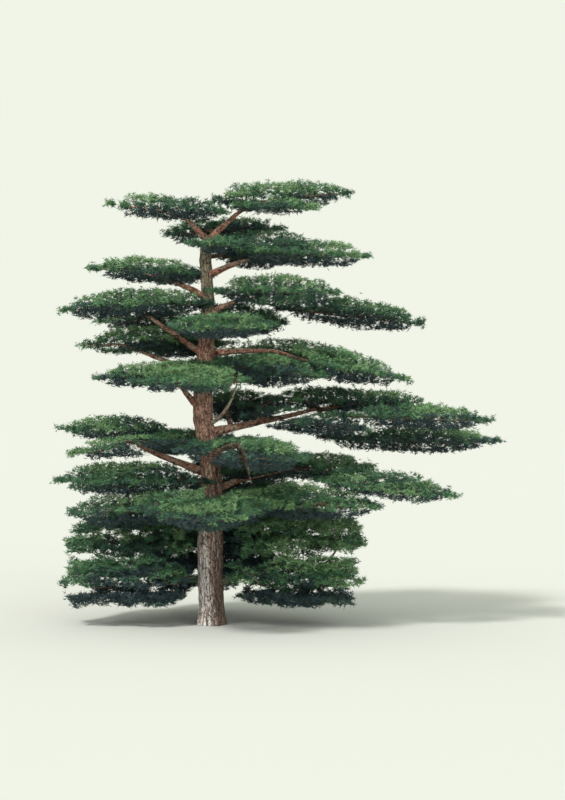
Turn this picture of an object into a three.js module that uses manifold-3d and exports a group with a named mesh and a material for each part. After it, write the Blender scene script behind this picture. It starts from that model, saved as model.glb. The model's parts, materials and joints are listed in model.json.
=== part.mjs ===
// A mature Lebanon cedar: a leaning, gently bent trunk that forks near its top, long tapering boughs,
// and flat, ragged plates of foliage in tiers, longest on the +X side.
// Frame: millimetres, +Z up, the origin at the middle of the flat cut at ground level.
// +X is the side of the longest boughs, and the tree is seen from -Y.
import * as THREE from "three";
import { mergeVertices } from "three/addons/utils/BufferGeometryUtils.js";
import Module from "manifold-3d";

const wasm = await Module();
wasm.setup();

// ---------------------------------------------------------------- driving dimensions

const METRE = 1000; // the tables below are in metres
const TOUCHING_GAP = 0.5; // between two solids that meet
const TRUNK_SIDES = 16;
const TRUNK_STEPS = 20;
const LIMB_SIDES = 7;
const LIMB_STEPS = 5;
const PAD_SEGMENTS = 15; // round a pad of foliage
const PAD_RINGS = 4; // from its top to its underside
const BLUNT_RINGS = 6;
const COLLAR_GAIN = 0.55; // how much wider a bough is where it leaves the trunk
const COLLAR_REACH = 0.1; // as a share of the bough's length
const FLARE_LOBES = 5;

// The trunk's centre and radius at each height, up to its fork.
const TRUNK = [
  { z: 0.0, x: 0.0, y: 0.0, radius: 0.74 },
  { z: 0.25, x: 0.0, y: 0.0, radius: 0.64 },
  { z: 0.8, x: -0.01, y: 0.0, radius: 0.57 },
  { z: 2.0, x: -0.05, y: 0.02, radius: 0.58 },
  { z: 3.4, x: -0.07, y: 0.04, radius: 0.6 },
  { z: 5.0, x: -0.02, y: 0.06, radius: 0.56 },
  { z: 6.6, x: 0.04, y: 0.05, radius: 0.51 },
  { z: 8.2, x: -0.18, y: 0.02, radius: 0.5 },
  { z: 9.6, x: -0.4, y: 0.0, radius: 0.47 },
  { z: 11.4, x: -0.36, y: 0.02, radius: 0.41 },
  { z: 13.2, x: -0.2, y: 0.05, radius: 0.36 },
  { z: 14.8, x: -0.15, y: 0.06, radius: 0.3 },
  { z: 15.8, x: -0.24, y: 0.04, radius: 0.28 },
  { z: 16.8, x: -0.28, y: 0.02, radius: 0.29 },
  { z: 17.45, x: -0.2, y: 0.0, radius: 0.25 },
];

// Each mass is one or more flat pads of foliage that run from an inner point out to a tip.
// width is across the pad, thick is from its underside to its top, and arch lifts its middle.
const MASSES = {
  crown_top: [
    { inner: [0.0, 0.25, 19.05], tip: [6.2, 0.5, 19.45], width: 3.7, thick: 1.3, arch: 0.1 },
    { inner: [1.0, -0.6, 18.75], tip: [4.6, -1.9, 18.55], width: 2.6, thick: 0.66, arch: 0.05 },
  ],
  top_left: [{ inner: [0.72, -0.2, 18.5], tip: [-4.52, -1.1, 18.8], width: 3.4, thick: 1.08, arch: 0.0 }],
  upper_left_back: [{ inner: [-0.2, 0.45, 17.9], tip: [-1.7, 3.5, 17.8], width: 2.3, thick: 0.85, arch: 0.05 }],
  upper_right_back: [
    { inner: [0.1, 0.5, 18.0], tip: [2.9, 3.0, 18.0], width: 2.8, thick: 0.85, arch: 0.05 },
    { inner: [0.3, 1.2, 17.95], tip: [0.6, 5.1, 17.7], width: 2.6, thick: 0.8, arch: 0.05 },
  ],
  third_right: [
    { inner: [0.1, -0.4, 16.8], tip: [7.2, -1.4, 16.45], width: 3.8, thick: 1.2, arch: 0.05 },
    { inner: [0.2, 0.2, 17.15], tip: [4.4, 1.5, 17.25], width: 2.8, thick: 1.0, arch: 0.05 },
  ],
  third_front: [{ inner: [0.5, -0.45, 17.0], tip: [0.0, -4.1, 16.9], width: 2.3, thick: 0.66, arch: 0.0 }],
  third_back: [{ inner: [0.6, 0.9, 16.75], tip: [3.0, 4.9, 16.6], width: 2.9, thick: 0.8, arch: 0.05 }],
  fourth_left: [{ inner: [-0.42, 0.0, 15.7], tip: [-5.4, -1.3, 15.95], width: 3.6, thick: 1.05, arch: 0.1 }],
  fourth_back: [{ inner: [-0.6, 0.9, 15.75], tip: [-2.9, 4.9, 15.85], width: 2.7, thick: 0.8, arch: 0.05 }],
  fifth_right: [{ inner: [0.0, -0.7, 14.95], tip: [5.7, -2.3, 14.8], width: 4.0, thick: 1.35, arch: 0.05 }],
  fifth_right_outer: [{ inner: [2.9, 0.5, 14.25], tip: [9.75, 1.7, 13.55], width: 4.0, thick: 1.3, arch: 0.2 }],
  fifth_back: [{ inner: [0.3, 0.7, 13.9], tip: [2.4, 6.0, 13.6], width: 4.1, thick: 1.3, arch: 0.1 }],
  sixth_left: [
    { inner: [0.0, -0.4, 14.4], tip: [-6.65, -1.5, 14.05], width: 4.1, thick: 1.3, arch: 0.15 },
    { inner: [-1.2, 0.9, 13.75], tip: [-5.3, 3.0, 13.75], width: 3.2, thick: 0.85, arch: 0.05 },
  ],
  sixth_front: [{ inner: [0.1, -0.5, 13.4], tip: [1.0, -5.6, 13.15], width: 4.9, thick: 1.15, arch: 0.05 }],
  seventh_left: [{ inner: [-0.7, 0.3, 12.95], tip: [-5.85, 1.6, 12.55], width: 3.9, thick: 1.2, arch: 0.05 }],
  seventh_back: [{ inner: [-0.3, 0.8, 12.7], tip: [-2.6, 6.0, 12.5], width: 4.0, thick: 1.1, arch: 0.05 }],
  eighth_right: [
    { inner: [2.9, -0.5, 11.95], tip: [8.7, -2.1, 10.95], width: 4.0, thick: 1.3, arch: 0.15 },
    { inner: [0.9, 0.5, 12.35], tip: [6.0, 1.9, 12.05], width: 3.4, thick: 1.1, arch: 0.1 },
  ],
  ninth_left: [{ inner: [0.0, -0.9, 11.4], tip: [-4.95, -2.4, 11.05], width: 3.9, thick: 1.2, arch: 0.05 }],
  ninth_right: [{ inner: [-0.2, -0.8, 11.7], tip: [5.1, -3.0, 11.15], width: 4.0, thick: 1.4, arch: 0.1 }],
  ninth_front: [{ inner: [0.2, -2.0, 11.05], tip: [-1.3, -7.2, 10.75], width: 4.6, thick: 1.15, arch: 0.05 }],
  ninth_back: [{ inner: [-0.3, 0.7, 11.5], tip: [1.6, 7.0, 11.3], width: 4.8, thick: 1.3, arch: 0.05 }],
  tenth_right: [{ inner: [2.4, 0.6, 10.15], tip: [10.3, 2.7, 9.7], width: 4.6, thick: 1.25, arch: 0.1 }],
  tenth_right_outer: [{ inner: [5.8, -1.0, 9.4], tip: [12.4, -2.7, 9.2], width: 3.9, thick: 1.05, arch: 0.05 }],
  tenth_right_low: [{ inner: [4.9, 1.0, 8.4], tip: [13.2, 0.6, 8.25], width: 4.5, thick: 1.15, arch: 0.0 }],
  tenth_right_inner: [{ inner: [1.5, -0.5, 9.4], tip: [6.9, -1.6, 8.8], width: 3.8, thick: 1.25, arch: 0.05 }],
  tenth_back: [{ inner: [0.5, 1.2, 9.85], tip: [2.0, 6.6, 9.7], width: 3.8, thick: 1.55, arch: 0.05 }],
  eleventh_left: [
    { inner: [-1.6, 0.3, 8.6], tip: [-6.85, 1.7, 8.75], width: 4.3, thick: 1.15, arch: 0.05 },
    { inner: [-0.5, -0.7, 8.2], tip: [-6.2, -2.2, 7.75], width: 3.4, thick: 0.85, arch: 0.1 },
  ],
  eleventh_front: [{ inner: [0.6, -0.6, 7.95], tip: [2.5, -7.3, 7.65], width: 5.2, thick: 1.45, arch: 0.05 }],
  eleventh_back: [{ inner: [-0.4, 0.8, 8.2], tip: [-2.8, 7.6, 8.0], width: 5.2, thick: 1.2, arch: 0.05 }],
  twelfth_left: [{ inner: [0.3, 0.2, 6.45], tip: [-6.95, -1.1, 6.5], width: 4.7, thick: 1.45, arch: 0.1 }],
  twelfth_back: [{ inner: [0.3, 0.9, 7.0], tip: [3.4, 7.3, 6.9], width: 4.8, thick: 1.25, arch: 0.05 }],
  thirteenth_right: [{ inner: [0.1, 0.3, 6.85], tip: [7.5, 2.6, 7.0], width: 4.4, thick: 1.3, arch: 0.1 }],
  thirteenth_right_outer: [{ inner: [4.6, -0.5, 6.55], tip: [10.7, -2.5, 5.85], width: 4.1, thick: 1.2, arch: 0.15 }],
  lower_right: [{ inner: [0.3, -0.3, 5.55], tip: [7.5, -2.7, 5.4], width: 4.6, thick: 1.4, arch: 0.1 }],
  lower_left: [{ inner: [-0.5, 0.3, 5.3], tip: [-6.1, -2.0, 5.1], width: 4.8, thick: 1.5, arch: 0.1 }],
  lower_front: [{ inner: [0.5, -0.5, 5.6], tip: [-0.3, -7.2, 5.1], width: 5.8, thick: 1.5, arch: 0.1 }],
  lower_back: [{ inner: [0.1, 0.8, 5.8], tip: [2.2, 8.2, 5.4], width: 6.0, thick: 1.4, arch: 0.1 }],
  skirt_left: [
    { inner: [-0.6, 0.9, 3.55], tip: [-6.4, 2.5, 3.45], width: 4.8, thick: 2.6, arch: 0.0, blunt: true },
    { inner: [-0.8, 1.1, 1.95], tip: [-6.6, -0.5, 1.9], width: 4.8, thick: 2.5, arch: 0.0, blunt: true },
  ],
  skirt_right: [
    { inner: [0.6, 0.9, 3.65], tip: [6.9, 2.5, 3.6], width: 5.0, thick: 2.6, arch: 0.0, blunt: true },
    { inner: [0.8, 1.1, 2.0], tip: [6.7, -0.6, 1.95], width: 5.0, thick: 2.5, arch: 0.0, blunt: true },
  ],
  skirt_back: [{ inner: [0.0, 1.2, 2.9], tip: [-1.2, 7.7, 2.4], width: 6.0, thick: 3.2, arch: 0.2, blunt: true }],
};

// Each bough leaves the trunk at height z and runs to a point a share of the way along its mass.
// radius is where it leaves the trunk, and sway lifts or drops the middle of its run.
const BOUGHS = {
  leader_left: { z: 17.3, radius: 0.17, mass: "top_left", share: 0.45, sway: 0.1 },
  leader_right: { z: 17.2, radius: 0.19, mass: "crown_top", share: 0.3, sway: 0.0 },
  bough_third_right: { z: 15.7, radius: 0.18, mass: "third_right", share: 0.34, sway: 0.05 },
  bough_fourth_left: { z: 14.7, radius: 0.18, mass: "fourth_left", share: 0.45, sway: 0.05 },
  bough_fifth_right: { z: 14.0, radius: 0.17, mass: "fifth_right", share: 0.4, sway: 0.05 },
  bough_sixth_left: { z: 12.1, radius: 0.17, mass: "sixth_left", share: 0.5, sway: 0.0 },
  bough_sixth_front: { z: 12.4, radius: 0.15, mass: "sixth_front", share: 0.4, sway: 0.1 },
  bough_seventh_left: { z: 11.3, radius: 0.18, mass: "seventh_left", share: 0.65, sway: -0.1 },
  bough_eighth_right: { z: 12.2, radius: 0.17, mass: "eighth_right", share: 0.3, sway: 0.45 },
  bough_ninth_left: { z: 9.5, radius: 0.2, mass: "ninth_left", share: 0.4, sway: 0.15 },
  bough_ninth_front: { z: 9.9, radius: 0.17, mass: "ninth_front", share: 0.35, sway: 0.1 },
  bough_ninth_back: { z: 10.2, radius: 0.17, mass: "ninth_back", share: 0.4, sway: 0.1 },
  bough_tenth_right: { z: 8.6, radius: 0.21, mass: "tenth_right", share: 0.4, sway: -0.1 },
  bough_eleventh_left: { z: 6.75, radius: 0.22, mass: "eleventh_left", share: 0.5, sway: -0.25 },
  bough_eleventh_front: { z: 7.2, radius: 0.19, mass: "eleventh_front", share: 0.3, sway: -0.1 },
  bough_eleventh_back: { z: 7.3, radius: 0.19, mass: "eleventh_back", share: 0.35, sway: 0.0 },
  bough_thirteenth_right: { z: 6.0, radius: 0.21, mass: "thirteenth_right", share: 0.35, sway: 0.1 },
  bough_lower_front: { z: 4.3, radius: 0.19, mass: "lower_front", share: 0.3, sway: 0.1 },
  bough_lower_back: { z: 4.7, radius: 0.2, mass: "lower_back", share: 0.35, sway: 0.0 },
};
const BOUGH_TAPER = 0.4; // a bough's radius at its far end, as a share of its first one

// ---------------------------------------------------------------- materials

const bark = new THREE.MeshStandardMaterial({ color: 0x8a6a55, roughness: 0.9, metalness: 0 });
const needles = new THREE.MeshStandardMaterial({ color: 0x3f5f3c, roughness: 0.8, metalness: 0 });

// ---------------------------------------------------------------- helpers

// A geometry whose shared vertices are merged, as a manifold-3d solid.
function solidOf(geometry) {
  geometry.deleteAttribute("normal");
  geometry.deleteAttribute("uv");
  const merged = mergeVertices(geometry, 1e-3);
  return new wasm.Manifold(
    new wasm.Mesh({
      numProp: 3,
      vertProperties: merged.attributes.position.array,
      triVerts: new Uint32Array(merged.index.array),
    }),
  );
}

// A manifold-3d solid as a named three.js mesh.
function meshOf(name, solid, material) {
  const data = solid.getMesh();
  const points = new Float32Array(data.numVert * 3);
  for (let i = 0; i < data.numVert; i++) {
    points.set(data.vertProperties.subarray(i * data.numProp, i * data.numProp + 3), i * 3);
  }
  const geometry = new THREE.BufferGeometry();
  geometry.setAttribute("position", new THREE.BufferAttribute(points, 3));
  geometry.setIndex(new THREE.BufferAttribute(data.triVerts, 1));
  const mesh = new THREE.Mesh(geometry.toNonIndexed(), material);
  mesh.geometry.computeVertexNormals();
  mesh.name = name;
  return mesh;
}

// Moves every vertex of a geometry by a function of its place.
function reshape(geometry, place) {
  const position = geometry.attributes.position;
  const point = new THREE.Vector3();
  for (let i = 0; i < position.count; i++) {
    point.fromBufferAttribute(position, i);
    place(point);
    position.setXYZ(i, point.x, point.y, point.z);
  }
  return geometry;
}

// The largest of the bodies that cutting leaves.
function largest(solid) {
  const bodies = solid.decompose();
  return bodies.reduce((best, body) => (body.volume() > best.volume() ? body : best));
}

// A number from 0 to 1 that depends only on a name and a count.
function chance(name, count) {
  let h = 2166136261 ^ count;
  for (const letter of name) {
    h = Math.imul(h ^ letter.charCodeAt(0), 16777619);
  }
  h = Math.imul(h ^ (h >>> 15), 2246822519);
  return ((h ^ (h >>> 13)) >>> 0) / 4294967296;
}

function vector(point) {
  return new THREE.Vector3(...point).multiplyScalar(METRE);
}

// ---------------------------------------------------------------- the trunk

// The trunk's centre and radius at height z, in millimetres.
function trunkAt(z) {
  const height = z / METRE;
  const last = TRUNK.length - 1;
  const i = Math.min(last - 1, Math.max(0, TRUNK.findIndex((row) => row.z > height) - 1));
  const above = height >= TRUNK[last].z ? last - 1 : i;
  const low = TRUNK[above];
  const high = TRUNK[above + 1];
  const t = THREE.MathUtils.smoothstep(height, low.z, high.z);
  return {
    x: THREE.MathUtils.lerp(low.x, high.x, t) * METRE,
    y: THREE.MathUtils.lerp(low.y, high.y, t) * METRE,
    radius: THREE.MathUtils.lerp(low.radius, high.radius, t) * METRE,
  };
}

// The trunk with its root flare, cut flat at the ground. grow widens it, to cut what meets it.
function trunkSolid(grow) {
  const top = TRUNK[TRUNK.length - 1].z * METRE;
  const geometry = new THREE.CylinderGeometry(1, 1, 1, TRUNK_SIDES, TRUNK_STEPS);
  geometry.rotateX(Math.PI / 2);
  reshape(geometry, (p) => {
    const share = p.z + 0.5;
    const z = top * share ** 1.25; // closer rings near the ground
    const centre = trunkAt(z);
    const angle = Math.atan2(p.y, p.x);
    const foot = Math.exp(-z / (0.45 * METRE));
    const lobes = 1 + foot * (0.13 * Math.cos(FLARE_LOBES * angle + 0.6) + 0.08 * Math.cos(2 * angle + 2.4));
    const uneven = 1 + 0.035 * Math.sin(3 * angle + z / 1700) + 0.025 * Math.cos(2 * angle - z / 2300);
    const reach = Math.hypot(p.x, p.y) * (centre.radius * lobes * uneven + grow);
    p.set(centre.x + reach * Math.cos(angle), centre.y + reach * Math.sin(angle), z);
  });
  return solidOf(geometry);
}

// ---------------------------------------------------------------- masses of foliage

// A flat, ragged pad: a squashed sphere with a pointed outline, stretched from its inner end to its tip.
function padSolid(name, index, pad, grow) {
  const inner = vector(pad.inner);
  const tip = vector(pad.tip);
  const halfLength = inner.distanceTo(tip) / 2 + grow;
  const halfWidth = (pad.width * METRE) / 2 + grow;
  const halfThick = (pad.thick * METRE) / 2 + grow;
  const bearing = Math.atan2(tip.y - inner.y, tip.x - inner.x);
  const squareness = pad.blunt ? 2.6 : 1.85; // 2 is an ellipse in plan
  const edge = pad.blunt ? 0.6 : 1.15; // under 1 is a blunt rim
  const phase = [0, 1, 2, 3].map((k) => chance(name, 10 * index + k) * 2 * Math.PI);
  const geometry = new THREE.SphereGeometry(1, PAD_SEGMENTS, pad.blunt ? BLUNT_RINGS : PAD_RINGS);
  geometry.rotateX(Math.PI / 2);
  reshape(geometry, (p) => {
    const round = Math.min(1, Math.hypot(p.x, p.y));
    const angle = Math.atan2(p.y, p.x);
    const across = Math.abs(Math.sin(angle));
    const cornered = (Math.abs(Math.cos(angle)) ** squareness + across ** squareness) ** (-1 / squareness);
    const lobes = 1 + across * (0.13 * Math.sin(3 * angle + phase[0]) + 0.09 * Math.sin(5 * angle + phase[1]));
    const along = round * cornered * lobes * Math.cos(angle);
    const side = round * cornered * lobes * Math.sin(angle);
    const height = Math.sign(p.z) * Math.abs(p.z) ** edge;
    const bumps = 1 + 0.16 * Math.sin(3 * along * 2 + phase[2]) + 0.12 * Math.sin(4 * side * 2 + phase[3]);
    const share = (along + 1) / 2;
    const lift = pad.arch * METRE * (1 - along * along) + 0.08 * METRE * Math.sin(2.4 * side + phase[1]) * across;
    const middle = THREE.MathUtils.lerp(inner.z, tip.z, share);
    const u = along * halfLength;
    const v = side * halfWidth;
    p.set(
      (inner.x + tip.x) / 2 + u * Math.cos(bearing) - v * Math.sin(bearing),
      (inner.y + tip.y) / 2 + u * Math.sin(bearing) + v * Math.cos(bearing),
      middle + lift + height * halfThick * bumps,
    );
  });
  return solidOf(geometry);
}

// All the pads of one mass, joined.
function massSolid(name, grow) {
  return MASSES[name]
    .map((pad, index) => padSolid(name, index, pad, grow))
    .reduce((joined, pad) => joined.add(pad));
}

// ---------------------------------------------------------------- boughs

// A tapering limb from the trunk's axis to a point inside its mass.
function boughSolid(bough, grow) {
  const root = trunkAt(bough.z * METRE);
  const start = new THREE.Vector3(root.x, root.y, bough.z * METRE);
  const pad = MASSES[bough.mass][0];
  const end = vector(pad.inner).lerp(vector(pad.tip), bough.share);
  const lift = new THREE.Vector3(0, 0, bough.sway * METRE);
  const line = new THREE.CatmullRomCurve3([
    start,
    start.clone().lerp(end, 0.33).addScaledVector(lift, 0.6),
    start.clone().lerp(end, 0.68).addScaledVector(lift, 1.0),
    end,
  ]);
  const frames = line.computeFrenetFrames(LIMB_STEPS, false);
  const geometry = new THREE.CylinderGeometry(1, 1, 1, LIMB_SIDES, LIMB_STEPS);
  const centre = new THREE.Vector3();
  const heading = new THREE.Vector3();
  reshape(geometry, (p) => {
    const share = p.y + 0.5;
    const step = Math.round(share * LIMB_STEPS);
    const past = step === 0 ? -grow : step === LIMB_STEPS ? grow : 0; // a cutter is longer too
    const collar = 1 + COLLAR_GAIN * Math.exp(-share / COLLAR_REACH);
    const radius = bough.radius * METRE * THREE.MathUtils.lerp(collar, BOUGH_TAPER, share) + grow;
    line.getPointAt(share, centre).addScaledVector(line.getTangentAt(share, heading), past);
    const normal = frames.normals[step];
    const side = frames.binormals[step];
    const [a, b] = [-p.x * radius, p.z * radius];
    p.copy(centre).addScaledVector(normal, a).addScaledVector(side, b);
  });
  return solidOf(geometry);
}

// ---------------------------------------------------------------- the tree

const tree = new THREE.Group();
tree.name = "cedar_tree";
const limbs = new THREE.Group();
const crown = new THREE.Group();
tree.add(limbs, crown);

const trunk = trunkSolid(0);
const trunkCutter = trunkSolid(TOUCHING_GAP);
limbs.add(meshOf("trunk", trunk, bark));

// Each bough is cut back at the trunk, at the boughs before it, and where it enters its mass.
const boughCutters = {};
for (const [name, bough] of Object.entries(BOUGHS)) {
  let solid = boughSolid(bough, 0).subtract(trunkCutter).subtract(massSolid(bough.mass, TOUCHING_GAP));
  for (const cutter of Object.values(boughCutters)) {
    solid = solid.subtract(cutter);
  }
  boughCutters[name] = boughSolid(bough, TOUCHING_GAP);
  limbs.add(meshOf(name, largest(solid), bark));
}

// Each mass is cut round the trunk, round the boughs that only pass through it, and at the masses before it.
const massCutters = [];
for (const name of Object.keys(MASSES)) {
  let solid = massSolid(name, 0).subtract(trunkCutter);
  for (const [boughName, bough] of Object.entries(BOUGHS)) {
    if (bough.mass !== name) {
      solid = solid.subtract(boughCutters[boughName]);
    }
  }
  for (const cutter of massCutters) {
    solid = solid.subtract(cutter);
  }
  massCutters.push(massSolid(name, TOUCHING_GAP));
  crown.add(meshOf(name, largest(solid), needles));
}

export default tree;
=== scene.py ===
# %% [markdown]
# # An old cedar with flat tiers of foliage
#
# The tree is already laid out as plain solids: a trunk, nineteen boughs, and forty flat masses that say
# where foliage is and where the sky shows through. Those solids are the frame. Everything that is seen
# is made here, in metres, in the frame's own place: bark with real relief, limbs that run on inside the
# masses, twigs that branch from the limbs, and needles in rosettes along the twigs.

# %% Load the frame
import json
import math

import bpy
import numpy as np
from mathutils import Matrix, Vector, noise
from mathutils.bvhtree import BVHTree


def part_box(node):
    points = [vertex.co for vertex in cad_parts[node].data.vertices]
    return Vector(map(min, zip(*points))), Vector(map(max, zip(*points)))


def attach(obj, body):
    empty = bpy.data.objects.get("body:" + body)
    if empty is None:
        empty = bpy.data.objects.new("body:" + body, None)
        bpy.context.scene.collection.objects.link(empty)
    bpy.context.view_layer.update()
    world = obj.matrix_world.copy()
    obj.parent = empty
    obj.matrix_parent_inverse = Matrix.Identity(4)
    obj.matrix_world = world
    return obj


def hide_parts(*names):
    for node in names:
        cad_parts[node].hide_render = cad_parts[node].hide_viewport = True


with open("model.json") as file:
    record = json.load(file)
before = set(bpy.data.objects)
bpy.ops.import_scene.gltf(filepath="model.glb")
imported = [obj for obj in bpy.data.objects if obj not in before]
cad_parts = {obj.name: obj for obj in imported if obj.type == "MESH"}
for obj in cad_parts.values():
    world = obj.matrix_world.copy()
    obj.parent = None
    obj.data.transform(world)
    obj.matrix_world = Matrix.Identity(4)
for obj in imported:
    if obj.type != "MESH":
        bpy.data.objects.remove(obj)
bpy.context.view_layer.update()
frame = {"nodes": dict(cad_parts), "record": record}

slot_of = {row["node"]: row["material_slot"] for row in frame["record"]["subparts"]}
bough_names = [name for name in slot_of if slot_of[name] == "bark" and name != "trunk"]
mass_names = [name for name in slot_of if slot_of[name] == "needles"]
bpy.ops.object.select_all(action="DESELECT")

# %% [markdown]
# ## Camera, light and floor
#
# A tree twenty metres tall is looked at from far off, so that its tiers stay level and parallel. The camera
# stands ninety metres away at half the tree's height, and a long lens does the rest. The world is an evenly
# bright, slightly warm white, one broad sun from the upper left picks out the tops, and a weak, very soft one
# from low on the right fills the shade under the tiers. The floor is a little darker than white, so that in
# the light of all three it ends up as pale as the world behind it, and no horizon cuts through the tree.

# %% Camera
VIEW_MIDDLE = (3.2, 10.1)  # across and up, where the picture is centred
VIEW_HEIGHT = 36.0  # how much of the tree's plane the picture's height takes in
VIEW_DISTANCE = 90.0

stand = (VIEW_MIDDLE[0], -VIEW_DISTANCE, VIEW_MIDDLE[1])
bpy.ops.object.camera_add(location=stand, rotation=(math.pi / 2, 0, 0))
camera = bpy.context.object
camera.data.sensor_fit = "VERTICAL"
camera.data.angle_y = 2 * math.atan(VIEW_HEIGHT / 2 / VIEW_DISTANCE)
camera.data.clip_end = 2000
bpy.context.scene.camera = camera
print("camera: angle", round(math.degrees(camera.data.angle_y), 1), "degrees from", VIEW_DISTANCE, "m away")

# %% Sky, sun and fill
STUDIO_WHITE = (0.88, 0.91, 0.80)
SUN_STRENGTH, SUN_LEAN = 3.0, math.radians(42)  # how far from straight down it shines
FILL_STRENGTH, FILL_LEAN = 1.1, math.radians(74)

world = bpy.data.worlds.new("soft_studio")
world.use_nodes = True
world.node_tree.nodes["Background"].inputs["Color"].default_value = (*STUDIO_WHITE, 1)
world.node_tree.nodes["Background"].inputs["Strength"].default_value = 1.0
bpy.context.scene.world = world
bpy.context.scene.view_settings.view_transform = "Standard"


def sunlight(name, strength, lean, turn, softness, colour):
    bpy.ops.object.light_add(type="SUN", location=(0, -40, 60), rotation=(lean, 0, math.radians(turn)))
    light = bpy.context.object
    light.name = name
    light.data.energy = strength
    light.data.angle = math.radians(softness)
    light.data.color = colour
    return light


sun = sunlight("sun", SUN_STRENGTH, SUN_LEAN, -38, 9, (1.0, 0.97, 0.92))
fill = sunlight("fill", FILL_STRENGTH, FILL_LEAN, 22, 50, (0.95, 0.98, 1.0))
print("lights:", sun.name, sun.data.energy, fill.name, fill.data.energy)

# %% [markdown]
# ## Shader maths
#
# A pattern is easier to read as a formula than as a list of links. `Wire` wraps one output socket of a node
# and adds Math nodes as it is added, multiplied or subtracted, and `Finish` makes a material and any other
# node in it from three things: its type, its settings, and what goes into its sockets.

# %% Sockets with arithmetic
class Wire:
    """One output socket, with arithmetic that adds Math nodes."""

    def __init__(self, finish, socket):
        self.finish = finish
        self.socket = socket

    def _math(self, operation, *values):
        return self.finish.node("ShaderNodeMath", {"operation": operation}, dict(enumerate(values)))

    def __add__(self, other):
        return self._math("ADD", self, other)

    def __radd__(self, other):
        return self._math("ADD", other, self)

    def __sub__(self, other):
        return self._math("SUBTRACT", self, other)

    def __rsub__(self, other):
        return self._math("SUBTRACT", other, self)

    def __mul__(self, other):
        return self._math("MULTIPLY", self, other)

    def __rmul__(self, other):
        return self._math("MULTIPLY", other, self)

    def between(self, low, high):
        """0 below low, 1 above high, and smooth between them."""
        inputs = {"Value": self, "From Min": low, "From Max": high}
        return self.finish.node("ShaderNodeMapRange", {"interpolation_type": "SMOOTHSTEP"}, inputs)


class Finish:
    """A material, and the nodes in it."""

    def __init__(self, name):
        self.material = bpy.data.materials.new(name)
        self.material.use_nodes = True
        self.tree = self.material.node_tree
        self.shader = self.tree.nodes["Principled BSDF"]

    def feed(self, socket, value):
        if isinstance(value, Wire):
            self.tree.links.new(value.socket, socket)
        elif hasattr(value, "__len__") and socket.type == "RGBA":
            socket.default_value = (*value, 1)[:4]
        else:
            socket.default_value = value

    def node(self, kind, settings=None, inputs=None, output=0):
        made = self.tree.nodes.new(kind)
        for name, value in (settings or {}).items():
            setattr(made, name, value)
        for name, value in (inputs or {}).items():
            self.feed(made.inputs[name], value)
        return Wire(self, made.outputs[output])

    def mix(self, share, first, second):
        """Two colours mixed by a share."""
        return self.node("ShaderNodeMix", {"data_type": "RGBA"}, {0: share, 6: first, 7: second}, output=2)

    def place(self, scale):
        """Object coordinates, stretched: a larger scale is a finer pattern."""
        spot = self.node("ShaderNodeTexCoord", output="Object")
        return self.node("ShaderNodeMapping", inputs={"Vector": spot, "Scale": scale})

    def noise(self, vector, detail=3.0, roughness=0.55):
        inputs = {"Vector": vector, "Scale": 1.0, "Detail": detail, "Roughness": roughness}
        return self.node("ShaderNodeTexNoise", inputs=inputs)

    def part(self, vector, axis):
        """One of the three numbers of a vector."""
        return self.node("ShaderNodeSeparateXYZ", inputs={"Vector": vector}, output=axis)

    def surface(self, **values):
        """The material, with values on its shader's own sockets."""
        for name, value in values.items():
            self.feed(self.shader.inputs[name.replace("_", " ")], value)
        return self.material


# %% [markdown]
# ## The floor
#
# The floor isn't part of the tree. Its colour is worked out from the light that falls on it: the light of the
# world, the sun and the fill together has to come back as the world's own colour.

# %% Floor
sun_on_floor = SUN_STRENGTH * math.cos(SUN_LEAN) / math.pi
fill_on_floor = FILL_STRENGTH * math.cos(FILL_LEAN) / math.pi
floor_colour = [sky / (sky + sun_on_floor * warm + fill_on_floor * cool)
                for sky, warm, cool in zip(STUDIO_WHITE, sun.data.color, fill.data.color)]

bpy.ops.mesh.primitive_circle_add(vertices=96, radius=600, fill_type="NGON", location=(0, 0, -0.002))
floor = bpy.context.object
floor.name = "floor"
pale = Finish("pale_floor")
floor.data.materials.append(pale.surface(Base_Color=floor_colour, Roughness=1.0, Specular_IOR_Level=0.0))
print("floor colour:", [round(value, 2) for value in floor_colour])

# %% [markdown]
# ## Bark
#
# Old cedar bark is broken into small scaly plates with dark cracks between them. It is red-brown where it is
# fresh, and weathers to tan, cream and a cool, lilac grey in long streaks that run with the trunk. The cracks
# between the plates are real relief in the mesh, further on, and each point there keeps how deep in a groove
# it lies, in an attribute called groove. So the material darkens exactly what is deep, and adds only what is
# too fine for the mesh: the small scales that each plate is made of, with a thin crack round each, and their
# grain. The scales are the cells of a Voronoi pattern whose coordinates a noise has pushed about first, so
# that no crack is straight.

# %% Bark colours
OLD_RED, OLD_TAN = (0.48, 0.225, 0.160), (0.68, 0.48, 0.36)
SALMON_BARK = (0.86, 0.470, 0.340)
LIMB_RED, LIMB_TAN = (0.76, 0.290, 0.190), (0.82, 0.480, 0.350)
# painted shade: the limb colours darkened, for the limbs inside the foliage
SHADED_LIMB_RED, SHADED_LIMB_TAN = (0.20, 0.100, 0.070), (0.32, 0.20, 0.14)
TWIG_RED, TWIG_TAN = (0.085, 0.045, 0.030), (0.155, 0.100, 0.065)
CREAM_BARK = (0.82, 0.74, 0.56)
LILAC_BARK = (0.84, 0.82, 0.80)
BROWN_BARK = (0.115, 0.072, 0.054)
CRACK = (0.030, 0.022, 0.020)
OLIVE_BARK = (0.34, 0.335, 0.220)
print("bark colours from", CRACK, "to", LILAC_BARK)

# %% [markdown]
# One function makes every kind of bark. streaks and fine are how fine the drifts of colour and the scales
# are. cream is how much of the bark has weathered pale, and the number after it how much cream highlight is
# painted on its upper sides. trunk is 1 where the colour also changes with height, and at the foot from left
# to right: lilac, partly in drifts and mostly as a painted highlight on the lit left side, and brown as
# painted shade on the right; salmon is at the middle and olive in the crown. Each line lays one colour over
# the last, first the wide drifts and then the fine marks.

# %% Bark scales
SCALE_PUSH = (1.6, 1.6, 1.6)  # how far the noise pushes the scales' edges, in scales


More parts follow.
